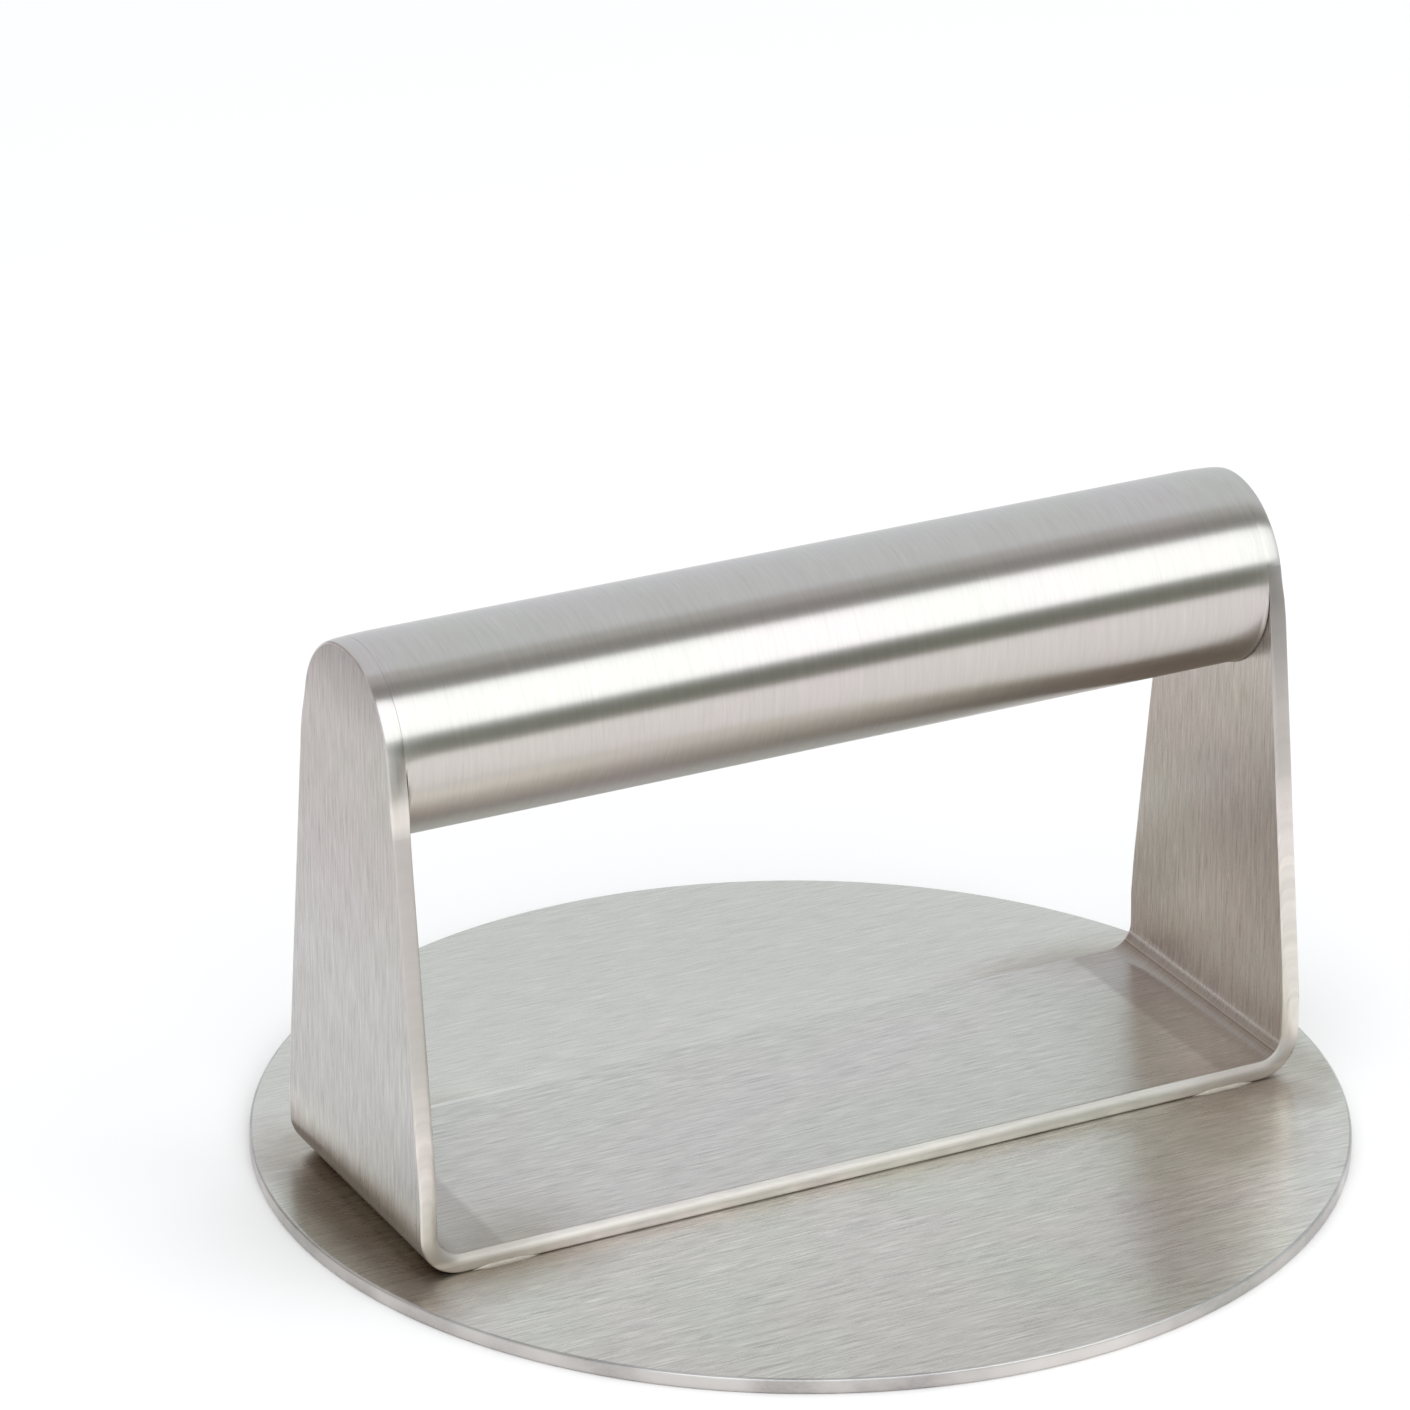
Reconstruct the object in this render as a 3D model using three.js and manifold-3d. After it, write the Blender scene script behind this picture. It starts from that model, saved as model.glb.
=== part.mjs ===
// Round bacon press in brushed stainless steel.
//
// A flat round plate presses the food. One strip of sheet, bent up at both ends, lies across
// the plate and carries a tube handle between its two legs. Everything is welded together.
//
// Millimetres, +Z up. The origin is the middle of the plate's underside, and the handle
// runs along X.

import * as THREE from "three";
import { mergeVertices } from "three/addons/utils/BufferGeometryUtils.js";
import Module from "manifold-3d";

const wasm = await Module();
wasm.setup();

// ---- Driving dimensions ----

// Pressing plate
const PLATE_RADIUS = 70;
const PLATE_THICKNESS = 2;
const PLATE_EDGE_ROUNDING = 0.4;

// Bracket: one strip of sheet with both ends bent up
const SHEET_THICKNESS = 2.375;
const STRIP_WIDTH = 39;
const BRACKET_LENGTH = 124.5;
const BEND_OUTSIDE_RADIUS = 5.5;
const SHEET_EDGE_ROUNDING = 0.3;
const TAPER_START = 10; // height above the plate where the legs begin to narrow

// Tube handle, held between the legs with its centre line this high above the plate
const TUBE_RADIUS = 12.5;
const TUBE_WALL = 1.25;
const TUBE_HEIGHT = 64;

// Welds
const TUBE_WELD_SIZE = 0.75; // legs of the triangle filled at each end of the tube
const SEAM_WELD_SIZE = 0.6; // legs of the fillet between the strip and the plate
const SEAM_WELD_LENGTH = 9;
const SEAM_WELD_START = 46.5; // distance from the middle of the strip to the nearer end

// Facets
const PLATE_FACETS = 128;
const TUBE_FACETS = 72;
const BEND_SEGMENTS = 5;
const LEG_TOP_SEGMENTS = 18;
const ROUNDING_SEGMENTS = 3;
const LEG_OVERLAP = 1; // how far each leg blank reaches down into the bent base before joining

// ---- Sizes that follow ----

const BRACKET_HALF_LENGTH = BRACKET_LENGTH / 2;
const LEG_INNER_FACE = BRACKET_HALF_LENGTH - SHEET_THICKNESS;
const BEND_INSIDE_RADIUS = BEND_OUTSIDE_RADIUS - SHEET_THICKNESS;
const BEND_CENTRE = BRACKET_HALF_LENGTH - BEND_OUTSIDE_RADIUS;
const STRIP_HALF_WIDTH = STRIP_WIDTH / 2;
const QUARTER_TURN = Math.PI / 2;

// ---- Materials ----

function steel(colour, roughness) {
  return new THREE.MeshStandardMaterial({ color: colour, metalness: 1, roughness });
}

const plateSteel = steel(0xc2c1bd, 0.38);
const bracketSteel = steel(0xc4c1be, 0.36);
const tubeSteel = steel(0xcac8c5, 0.28);
const groundWeldSteel = steel(0xc8c5c0, 0.3);
const tintedWeldSteel = steel(0xa89678, 0.45);

function named(name, geometry, material) {
  const mesh = new THREE.Mesh(geometry, material);
  mesh.name = name;
  return mesh;
}

// ---- Solid joins ----

function toSolid(geometry) {
  const bare = geometry.clone();
  bare.deleteAttribute("normal");
  bare.deleteAttribute("uv");
  const merged = mergeVertices(bare);
  const vertProperties = merged.attributes.position.array;
  const triVerts = merged.index.array;
  return new wasm.Manifold(new wasm.Mesh({ numProp: 3, vertProperties, triVerts }));
}

function toGeometry(solid) {
  const mesh = solid.getMesh();
  const geometry = new THREE.BufferGeometry();
  geometry.setAttribute("position", new THREE.BufferAttribute(mesh.vertProperties, 3));
  geometry.setIndex(new THREE.BufferAttribute(mesh.triVerts, 1));
  geometry.computeVertexNormals();
  return geometry;
}

// An outline extruded to exactly its full thickness, with its edges rounded over.
function roundedPlateGeometry(outline, thickness, curveSegments) {
  const geometry = new THREE.ExtrudeGeometry(outline, {
    depth: thickness - 2 * SHEET_EDGE_ROUNDING,
    bevelEnabled: true,
    bevelThickness: SHEET_EDGE_ROUNDING,
    bevelSize: SHEET_EDGE_ROUNDING,
    bevelOffset: -SHEET_EDGE_ROUNDING,
    bevelSegments: ROUNDING_SEGMENTS,
    curveSegments,
  });
  geometry.translate(0, 0, SHEET_EDGE_ROUNDING);
  return geometry;
}

// ---- Pressing plate ----

function plateGeometry() {
  const profile = new THREE.Path();
  const flatRadius = PLATE_RADIUS - PLATE_EDGE_ROUNDING;
  const topRoundingHeight = PLATE_THICKNESS - PLATE_EDGE_ROUNDING;
  profile.moveTo(0, 0);
  profile.lineTo(flatRadius, 0);
  profile.absarc(flatRadius, PLATE_EDGE_ROUNDING, PLATE_EDGE_ROUNDING, -QUARTER_TURN, 0, false);
  profile.absarc(flatRadius, topRoundingHeight, PLATE_EDGE_ROUNDING, 0, QUARTER_TURN, false);
  profile.lineTo(0, PLATE_THICKNESS);
  return new THREE.LatheGeometry(profile.getPoints(2), PLATE_FACETS);
}

function makePlate() {
  const plate = named("base_plate", plateGeometry(), plateSteel);
  plate.rotation.x = QUARTER_TURN;
  return plate;
}

// ---- Bracket ----

// Side view of the strip with both bends, X across and Z up, as far as the start of the taper.
function bentBaseOutline() {
  const outline = new THREE.Shape();
  outline.moveTo(-BRACKET_HALF_LENGTH, TAPER_START);
  outline.lineTo(-BRACKET_HALF_LENGTH, BEND_OUTSIDE_RADIUS);
  outline.absarc(-BEND_CENTRE, BEND_OUTSIDE_RADIUS, BEND_OUTSIDE_RADIUS, Math.PI, 3 * QUARTER_TURN, false);
  outline.absarc(BEND_CENTRE, BEND_OUTSIDE_RADIUS, BEND_OUTSIDE_RADIUS, -QUARTER_TURN, 0, false);
  outline.lineTo(BRACKET_HALF_LENGTH, TAPER_START);
  outline.lineTo(LEG_INNER_FACE, TAPER_START);
  outline.absarc(BEND_CENTRE, BEND_OUTSIDE_RADIUS, BEND_INSIDE_RADIUS, 0, -QUARTER_TURN, true);
  outline.absarc(-BEND_CENTRE, BEND_OUTSIDE_RADIUS, BEND_INSIDE_RADIUS, 3 * QUARTER_TURN, Math.PI, true);
  outline.lineTo(-LEG_INNER_FACE, TAPER_START);
  outline.closePath();
  return outline;
}

// Angle, seen from the tube's centre, at which a leg's straight edge touches the round top.
function legTangentAngle() {
  const drop = TUBE_HEIGHT - TAPER_START;
  const distance = Math.hypot(STRIP_HALF_WIDTH, drop);
  const cornerAngle = Math.atan2(-drop, STRIP_HALF_WIDTH);
  return cornerAngle + Math.acos(TUBE_RADIUS / distance);
}

// Front view of one leg, Y across and Z up, narrowing from the strip to the tube.
function legOutline() {
  const bottom = TAPER_START - LEG_OVERLAP;
  const tangentAngle = legTangentAngle();
  const outline = new THREE.Shape();
  outline.moveTo(-STRIP_HALF_WIDTH, bottom);
  outline.lineTo(STRIP_HALF_WIDTH, bottom);
  outline.lineTo(STRIP_HALF_WIDTH, TAPER_START);
  outline.absarc(0, TUBE_HEIGHT, TUBE_RADIUS, tangentAngle, Math.PI - tangentAngle, false);
  outline.lineTo(-STRIP_HALF_WIDTH, TAPER_START);
  outline.closePath();
  return outline;
}

function bentBaseSolid() {
  const geometry = roundedPlateGeometry(bentBaseOutline(), STRIP_WIDTH, BEND_SEGMENTS);
  geometry.rotateX(QUARTER_TURN);
  geometry.translate(0, STRIP_HALF_WIDTH, 0);
  return toSolid(geometry);
}

// A leg with its outer face at the given X; the leg's thickness lies towards +X of it.
function legSolid(lowerFaceX) {
  const geometry = roundedPlateGeometry(legOutline(), SHEET_THICKNESS, LEG_TOP_SEGMENTS);
  geometry.rotateX(QUARTER_TURN);
  geometry.rotateZ(QUARTER_TURN);
  geometry.translate(lowerFaceX, 0, 0);
  return toSolid(geometry);
}

function makeBracket() {
  const solid = bentBaseSolid().add(legSolid(-BRACKET_HALF_LENGTH)).add(legSolid(LEG_INNER_FACE));
  return named("handle_bracket", toGeometry(solid), bracketSteel);
}

// ---- Tube handle and its welds ----

// Ring profiles are (radius, distance along the tube) pairs that close on themselves.
function ringGeometry(pairs) {
  const points = [...pairs, pairs[0]].map(([radius, along]) => new THREE.Vector2(radius, along));
  return new THREE.LatheGeometry(points, TUBE_FACETS);
}

function tubeGeometry() {
  const bore = TUBE_RADIUS - TUBE_WALL;
  const prepared = TUBE_RADIUS - TUBE_WELD_SIZE;
  const end = LEG_INNER_FACE;
  return ringGeometry([
    [bore, -end],
    [prepared, -end],
    [TUBE_RADIUS, TUBE_WELD_SIZE - end],
    [TUBE_RADIUS, end - TUBE_WELD_SIZE],
    [prepared, end],
    [bore, end],
  ]);
}

// Fills the chamfer at the tube's far end, ground flush with the tube and the leg's round top.
function tubeWeldGeometry() {
  return ringGeometry([
    [TUBE_RADIUS - TUBE_WELD_SIZE, LEG_INNER_FACE],
    [TUBE_RADIUS, LEG_INNER_FACE - TUBE_WELD_SIZE],
    [TUBE_RADIUS, LEG_INNER_FACE],
  ]);
}

function makeTubeWeld(name, turn) {
  const weld = named(name, tubeWeldGeometry(), groundWeldSteel);
  weld.rotation.z = turn;
  return weld;
}

function makeTubeHandle() {
  const tube = named("handle_tube", tubeGeometry(), tubeSteel);
  tube.rotation.z = -QUARTER_TURN;
  const handle = new THREE.Group();
  handle.position.z = TUBE_HEIGHT;
  handle.add(tube);
  handle.add(makeTubeWeld("tube_weld_right", -QUARTER_TURN));
  handle.add(makeTubeWeld("tube_weld_left", QUARTER_TURN));
  return handle;
}

// ---- Seam welds between the strip and the plate ----

// Fillet with a slightly crowned face, starting in the corner and running along +X.
function seamWeldGeometry() {
  const crown = 0.7 * SEAM_WELD_SIZE;
  const outline = new THREE.Shape();
  outline.moveTo(0, 0);
  outline.lineTo(SEAM_WELD_SIZE, 0);
  outline.quadraticCurveTo(crown, crown, 0, SEAM_WELD_SIZE);
  outline.closePath();
  const geometry = new THREE.ExtrudeGeometry(outline, {
    depth: SEAM_WELD_LENGTH,
    bevelEnabled: false,
    curveSegments: 6,
  });
  geometry.rotateX(QUARTER_TURN);
  geometry.rotateZ(QUARTER_TURN);
  geometry.translate(SEAM_WELD_START, STRIP_HALF_WIDTH, 0);
  return geometry;
}

function mirrored(geometry, acrossX, acrossY) {
  const copy = geometry.clone();
  copy.scale(acrossX, acrossY, 1);
  if (acrossX * acrossY < 0) {
    const position = copy.attributes.position;
    for (let first = 0; first < position.count; first += 3) {
      swapVertices(position, first, first + 1);
    }
  }
  copy.computeVertexNormals();
  return copy;
}

function swapVertices(position, a, b) {
  const held = new THREE.Vector3().fromBufferAttribute(position, a);
  const other = new THREE.Vector3().fromBufferAttribute(position, b);
  position.setXYZ(a, other.x, other.y, other.z);
  position.setXYZ(b, held.x, held.y, held.z);
}

function makeSeamWelds() {
  const welds = new THREE.Group();
  const fillet = seamWeldGeometry();
  for (const [side, acrossY] of [["front", -1], ["back", 1]]) {
    for (const [end, acrossX] of [["left", -1], ["right", 1]]) {
      const geometry = mirrored(fillet, acrossX, acrossY);
      welds.add(named(`seam_weld_${side}_${end}`, geometry, tintedWeldSteel));
    }
  }
  return welds;
}

// ---- Assembly ----

function makePress() {
  const press = new THREE.Group();
  const onPlate = new THREE.Group();
  onPlate.position.z = PLATE_THICKNESS;
  onPlate.add(makeBracket());
  onPlate.add(makeTubeHandle());
  onPlate.add(makeSeamWelds());
  press.add(makePlate());
  press.add(onPlate);
  return press;
}

export default makePress();
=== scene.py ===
"""Round bacon press in brushed stainless steel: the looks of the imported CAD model.

Everything is in metres, in the model's own frame: +Z up, the origin in the middle of the
plate's underside, the handle along X.
"""

import math

import bpy
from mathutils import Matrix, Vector, noise


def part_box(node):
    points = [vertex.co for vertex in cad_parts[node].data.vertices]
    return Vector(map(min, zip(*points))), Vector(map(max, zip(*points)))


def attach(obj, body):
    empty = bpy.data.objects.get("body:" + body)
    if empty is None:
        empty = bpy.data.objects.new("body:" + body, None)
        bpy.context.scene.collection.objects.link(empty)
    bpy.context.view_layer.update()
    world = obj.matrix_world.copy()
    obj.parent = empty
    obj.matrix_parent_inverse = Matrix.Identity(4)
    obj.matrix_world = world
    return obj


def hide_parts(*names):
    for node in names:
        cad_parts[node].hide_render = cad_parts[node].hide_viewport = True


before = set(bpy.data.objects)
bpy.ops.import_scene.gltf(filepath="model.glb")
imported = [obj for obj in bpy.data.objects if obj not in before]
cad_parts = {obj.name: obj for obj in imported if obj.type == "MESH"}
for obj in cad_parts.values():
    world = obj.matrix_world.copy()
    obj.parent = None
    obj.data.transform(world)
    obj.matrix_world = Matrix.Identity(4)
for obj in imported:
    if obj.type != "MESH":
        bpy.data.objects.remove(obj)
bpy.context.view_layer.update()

MM = 0.001

# ---- Sizes taken from the frame ----

plate_low, plate_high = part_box("base_plate")
bracket_low, bracket_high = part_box("handle_bracket")
tube_low, tube_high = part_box("handle_tube")
seam_low, seam_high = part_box("seam_weld_back_right")

PLATE_RADIUS = plate_high.x
PLATE_TOP = plate_high.z
OUTER_FACE = bracket_high.x
INNER_FACE = tube_high.x
SHEET = OUTER_FACE - INNER_FACE
HALF_WIDTH = bracket_high.y
TUBE_RADIUS = (tube_high.z - tube_low.z) / 2
TUBE_CENTRE = (tube_high.z + tube_low.z) / 2

# ---- Sizes of the bracket's bends and taper, and of the tube's wall and welds ----

BEND_OUTSIDE = 5.5 * MM
TAPER_START = 10 * MM  # above the plate
TUBE_WALL = 1.25 * MM
TUBE_WELD = 0.8 * MM

# ---- Fine shape of the worked metal ----

PLATE_ARRIS = 0.35 * MM
OUTER_ARRIS = 0.28 * MM
INNER_ARRIS = 0.62 * MM  # how far the inside edge is drawn in
INNER_ARRIS_DEPTH = 1.3 * MM  # and how far down the cut edge that rounding reaches
ROUNDING_LOST_ON_LEG = 0.6  # share of that rounding which is gone up the leg
ROUNDING_LOST_AT_TUBE = 0.93  # and where the tube is ground flush
EDGE_SUPPORT = 0.25 * MM  # a row of faces beside each rounded edge, to keep the flats flat
EDGE_CROWN = 0.04 * MM
BEND_BULGE = 0.1 * MM
ROLL_OFF_DEPTH = 0.42 * MM  # how far the ground ends of the handle fall away
ROLL_OFF_REACH = 6 * MM
GROUND_FADE = math.radians(12)  # the grinding fades out this far above and below the centre line
FACE_FALL = 0.16 * MM  # how far the legs' outer faces fall away towards the round top
FACE_FLAT = 0.3  # share of the top's radius within which those faces stay flat
SEAM_GROOVE = 0.3 * MM  # open seam under the tube, where the weld isn't ground
SEAM_WIDTH = 0.14 * MM
SEAM_OPEN_BELOW = math.radians(-10)
SEAM_CLOSED_ABOVE = math.radians(6)
WELD_FLARE = 0.2 * MM
SMOOTH_UP_TO = math.radians(35)  # sharper corners than this shade as corners

# Slow unevenness: how much, how long from hump to hump, and the seed of its pattern
SHEET_WAVE, SHEET_WAVE_LENGTH, SHEET_WAVE_SEED = 0.035 * MM, 30 * MM, 5.7
PLATE_WAVE, PLATE_WAVE_LENGTH, PLATE_WAVE_SEED = 0.02 * MM, 26 * MM, 3.1
TUBE_WAVE, TUBE_WAVE_LENGTH, TUBE_WAVE_SEED = 0.018 * MM, 14 * MM, 2.2
GRIND_WAVE, GRIND_WAVE_LENGTH, GRIND_WAVE_SEED = 0.18, 5 * MM, 8.4  # a share of the roll-off
BEAD_WAVE, BEAD_WAVE_LENGTH, BEAD_WAVE_SEED = 0.12, 2.5 * MM, 6.3  # a share of the seam weld's size


def blend_between(low, high, value):
    """0 below low, 1 above high, and a smooth step between."""
    share = min(max((value - low) / (high - low), 0), 1)
    return share * share * (3 - 2 * share)


def wave(point, length, seed):
    """Slow unevenness from -1 to 1, about this long from hump to hump. Each seed gives another one."""
    return noise.noise(Vector(point) / length + Vector((seed, 0, 0)))


def steps(start, end, count):
    """count + 1 evenly spaced values from start to end."""
    return [start + (end - start) * index / count for index in range(count + 1)]


def full_turn(count):
    """count evenly spaced angles round a circle."""
    return [2 * math.pi * index / count for index in range(count)]


# ---- Meshes ----


class Sheet:
    """Collects vertices, faces with a material each, and flat coordinates for the brush lines."""

    def __init__(self):
        self.points = []
        self.flat = []
        self.faces = []
        self.finish = []

    def point(self, place, flat=(0, 0)):
        self.points.append(Vector(place))
        self.flat.append(flat)
        return len(self.points) - 1

    def face(self, corners, finish=0):
        corners = [c for index, c in enumerate(corners) if c not in corners[:index]]
        if len(corners) > 2:
            self.faces.append(corners)
            self.finish.append(finish)

    def band(self, row, other, finish=0, closed=False):
        """Quads between two rows of the same length. finish is one number, or one for each quad."""
        pairs = list(zip(row, other))
        if closed:
            pairs.append(pairs[0])
        for index, ((a, b), (c, d)) in enumerate(zip(pairs, pairs[1:])):
            self.face([a, c, d, b], finish if isinstance(finish, int) else finish[index])

    def build(self, name, materials):
        mesh = bpy.data.meshes.new(name)
        mesh.from_pydata(self.points, [], self.faces)
        for material in materials:
            mesh.materials.append(material)
        mesh.polygons.foreach_set("material_index", self.finish)
        flat_map = mesh.uv_layers.new(name="brush")
        for loop in mesh.loops:
            flat_map.data[loop.index].uv = self.flat[loop.vertex_index]
        mesh.polygons.foreach_set("use_smooth", [True] * len(mesh.polygons))
        mesh.validate()
        mesh.set_sharp_from_angle(angle=SMOOTH_UP_TO)
        mesh.update()
        piece = bpy.data.objects.new(name, mesh)
        bpy.context.scene.collection.objects.link(piece)
        return piece


ARRIS_STEPS = 5


def arris(size):
    """Rounded edge as (inset from the edge, depth below the face) pairs, from the face outwards."""
    turns = steps(0, math.pi / 2, ARRIS_STEPS)
    return [(size * (1 - math.sin(turn)), size * (1 - math.cos(turn))) for turn in turns]


# ---- Pressing plate ----

PLATE_STEPS = 256
PLATE_RINGS = 22

PLATE_FACE, PLATE_RIM = 0, 1  # the plate's finishes


def plate_profile():
    """(radius, height, finish) from the middle of the underside round to the middle of the top."""
    edge = arris(PLATE_ARRIS)
    flat_radius = PLATE_RADIUS - PLATE_ARRIS - EDGE_SUPPORT
    radii = steps(0, flat_radius, PLATE_RINGS)[1:]
    under = [(radius, 0, PLATE_FACE) for radius in radii]
    lower = [(PLATE_RADIUS - inset, depth, PLATE_RIM) for inset, depth in edge]
    upper = [(PLATE_RADIUS - inset, PLATE_TOP - depth, PLATE_RIM) for inset, depth in reversed(edge)]
    top = [(radius, PLATE_TOP, PLATE_FACE) for radius in reversed(radii)]
    return under + lower + upper + top


def plate_wave(x, y, height):
    """The top is very slightly uneven; the pressing face and the rim stay true."""
    fade = 1 - blend_between(0.8 * PLATE_RADIUS, 0.97 * PLATE_RADIUS, math.hypot(x, y))
    on_top = blend_between(0.9 * PLATE_TOP, PLATE_TOP, height)
    uneven = 0.5 + 0.5 * wave((x, y, 0), PLATE_WAVE_LENGTH, PLATE_WAVE_SEED)
    return -PLATE_WAVE * fade * on_top * uneven


def make_plate(materials):
    sheet = Sheet()
    rows = []
    profile = plate_profile()
    for radius, height, _ in profile:
        row = []
        for turn in full_turn(PLATE_STEPS):
            x, y = radius * math.cos(turn), radius * math.sin(turn)
            row.append(sheet.point((x, y, height + plate_wave(x, y, height)), (x, y)))
        rows.append(row)
    for index, (row, following) in enumerate(zip(rows, rows[1:])):
        finish = min(profile[index][2], profile[index + 1][2])
        sheet.band(row, following, finish, closed=True)
    for row, height in ((rows[0][::-1], 0), (rows[-1], PLATE_TOP)):
        middle = sheet.point((0, 0, height + plate_wave(0, 0, height)))
        for a, b in zip(row, row[1:] + row[:1]):
            sheet.face([middle, a, b])
    return sheet.build("plate_body", materials)


# ---- Ground ends of the handle ----


def rolled(point):
    """Draws a point of the handle's upper end inwards, where leg, weld and tube are ground as one."""
    across = math.hypot(point.y, point.z - TUBE_CENTRE)
    from_end = OUTER_FACE - abs(point.x)
    if from_end > ROLL_OFF_REACH or across > 1.02 * TUBE_RADIUS or point.z < TUBE_CENTRE - TUBE_RADIUS:
        return point
    upward = math.atan2(point.z - TUBE_CENTRE, abs(point.y))
    above = blend_between(-GROUND_FADE, GROUND_FADE, upward)
    uneven = 1 + GRIND_WAVE * wave(point, GRIND_WAVE_LENGTH, GRIND_WAVE_SEED)
    share = 1 - from_end / ROLL_OFF_REACH
    near_rim = blend_between(0.8 * TUBE_RADIUS, 0.95 * TUBE_RADIUS, across)
    drop = ROLL_OFF_DEPTH * share * share * above * near_rim * uneven
    scale = 1 - drop / max(across, 0.1 * TUBE_RADIUS)
    outwards = max((across / TUBE_RADIUS - FACE_FLAT) / (1 - FACE_FLAT), 0)
    fall = FACE_FALL * outwards * outwards * above * max(1 - from_end / SHEET, 0)
    x = math.copysign(abs(point.x) - fall, point.x)
    return Vector((x, point.y * scale, TUBE_CENTRE + (point.z - TUBE_CENTRE) * scale))


# ---- Bracket ----

# The strip is laid out flat first: s runs along its outside from the middle of the base,
# w across it, and n through its thickness from the outside. It is then bent into shape.

BEND_CENTRE = OUTER_FACE - BEND_OUTSIDE
BEND_LENGTH = BEND_OUTSIDE * math.pi / 2
LEG_FOOT = BEND_CENTRE + BEND_LENGTH  # s where the bend ends and the leg begins


def bent(s, w, n):
    """Place in the part of a point of the flat strip."""
    along = abs(s)
    side = -1 if s < 0 else 1
    if along <= BEND_CENTRE:
        return Vector((s, w, PLATE_TOP + n))
    if along >= LEG_FOOT:
        return Vector((side * (OUTER_FACE - n), w, PLATE_TOP + BEND_OUTSIDE + along - LEG_FOOT))
    turn = (along - BEND_CENTRE) / BEND_OUTSIDE
    radius = BEND_OUTSIDE - n
    at_edge = (abs(w) / HALF_WIDTH) ** 8
    w += math.copysign(BEND_BULGE, w) * (2 * n / SHEET - 1) * math.sin(2 * turn) * at_edge
    x = BEND_CENTRE + radius * math.sin(turn)
    return Vector((side * x, w, PLATE_TOP + BEND_OUTSIDE - radius * math.cos(turn)))


def leg_tangent_angle():
    """Where a leg's straight edge meets its round top, as an angle at the tube's centre."""
    drop = TUBE_CENTRE - PLATE_TOP - TAPER_START
    corner = math.atan2(-drop, HALF_WIDTH)
    return corner + math.acos(TUBE_RADIUS / math.hypot(HALF_WIDTH, drop))


STRIP_STEPS = 24
BEND_STEPS = 14
LEG_FOOT_STEPS = 3
TAPER_STEPS = 24
ROUND_TOP_STEPS = 32


def half_outline():
    """(s, w, outward direction) along one edge, from the middle of the base to the top of a leg."""
    to_leg = LEG_FOOT - BEND_OUTSIDE - PLATE_TOP
    taper_foot = LEG_FOOT + TAPER_START - BEND_OUTSIDE
    tangent = leg_tangent_angle()
    tangent_s = to_leg + TUBE_CENTRE + TUBE_RADIUS * math.sin(tangent)
    tangent_w = TUBE_RADIUS * math.cos(tangent)
    outline = [(s, HALF_WIDTH, 0) for s in steps(0, BEND_CENTRE, STRIP_STEPS)]
    outline += [(s, HALF_WIDTH, 0) for s in steps(BEND_CENTRE, LEG_FOOT, BEND_STEPS)[1:]]
    outline += [(s, HALF_WIDTH, 0) for s in steps(LEG_FOOT, taper_foot, LEG_FOOT_STEPS)[1:-1]]
    for share in steps(0, 1, TAPER_STEPS)[:-1]:
        s = taper_foot + share * (tangent_s - taper_foot)
        w = HALF_WIDTH + share * (tangent_w - HALF_WIDTH)
        outline.append((s, w, tangent if share else tangent / 2))
    for turn in steps(tangent, math.pi / 2, ROUND_TOP_STEPS):
        s = to_leg + TUBE_CENTRE + TUBE_RADIUS * math.sin(turn)
        outline.append((s, TUBE_RADIUS * math.cos(turn), turn))
    return outline


def edge_profile(inner_share):
    """(inset, depth) across the sheet's cut edge, from its outside face to its inside.

    The inside rounding curves slowly off the cut edge and turns tightly onto the face. inner_share
    is how much of it is left: almost none where the tube is ground flush.
    """
    inset, reach = INNER_ARRIS * inner_share, INNER_ARRIS_DEPTH * inner_share
    on_face = 1.16 * inset
    outer = [(OUTER_ARRIS + EDGE_SUPPORT, 0)] + arris(OUTER_ARRIS)
    wall = SHEET - OUTER_ARRIS - reach
    crown = []
    for share in (0.25, 0.5, 0.75):
        crown.append((-EDGE_CROWN * math.sin(math.pi * share), OUTER_ARRIS + share * wall))
    inner = [(inset * (1 - share) ** 1.5, SHEET - reach * share) for share in steps(1, 0.06, 7)]
    inner += [(1.02 * inset, SHEET - 0.02 * reach), (on_face, SHEET), (on_face + EDGE_SUPPORT, SHEET)]
    return outer + crown + inner


def inner_rounding(s):
    """Share of the inside rounding left at s: all along the base, less up the legs, little at the tube."""
    height = PLATE_TOP + BEND_OUTSIDE + abs(s) - LEG_FOOT
    up_leg = blend_between(LEG_FOOT, LEG_FOOT + 12 * MM, abs(s))
    at_tube = blend_between(TUBE_CENTRE - 12 * MM, TUBE_CENTRE - 2 * MM, height)
    return (1 - ROUNDING_LOST_ON_LEG * up_leg) * (1 - ROUNDING_LOST_AT_TUBE * at_tube)


# Height above which each leg's cut edge is ground together with the tube
GROUND_FROM_LEFT = TUBE_CENTRE - 5.5 * MM
GROUND_FROM_RIGHT = TUBE_CENTRE + 4 * MM

BRUSHED, CUT, GROUND = 0, 1, 2  # the bracket's finishes: faces, cut edges and the legs' ground tops


def sheet_wave(s, w, n):
    """Slow unevenness of the sheet's two faces; the underside stays flat on the plate."""
    on_leg = blend_between(LEG_FOOT, LEG_FOOT + 8 * MM, abs(s))
    from_outside = n / SHEET
    share = from_outside + (1 - from_outside) * on_leg
    return SHEET_WAVE * share * wave((s, w, 0), SHEET_WAVE_LENGTH, SHEET_WAVE_SEED)


def add_point(sheet, s, w, n):
    """Adds a point of the flat strip at its bent and ground place."""
    return sheet.point(rolled(bent(s, w, n + sheet_wave(s, w, n))), (s, w))


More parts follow.
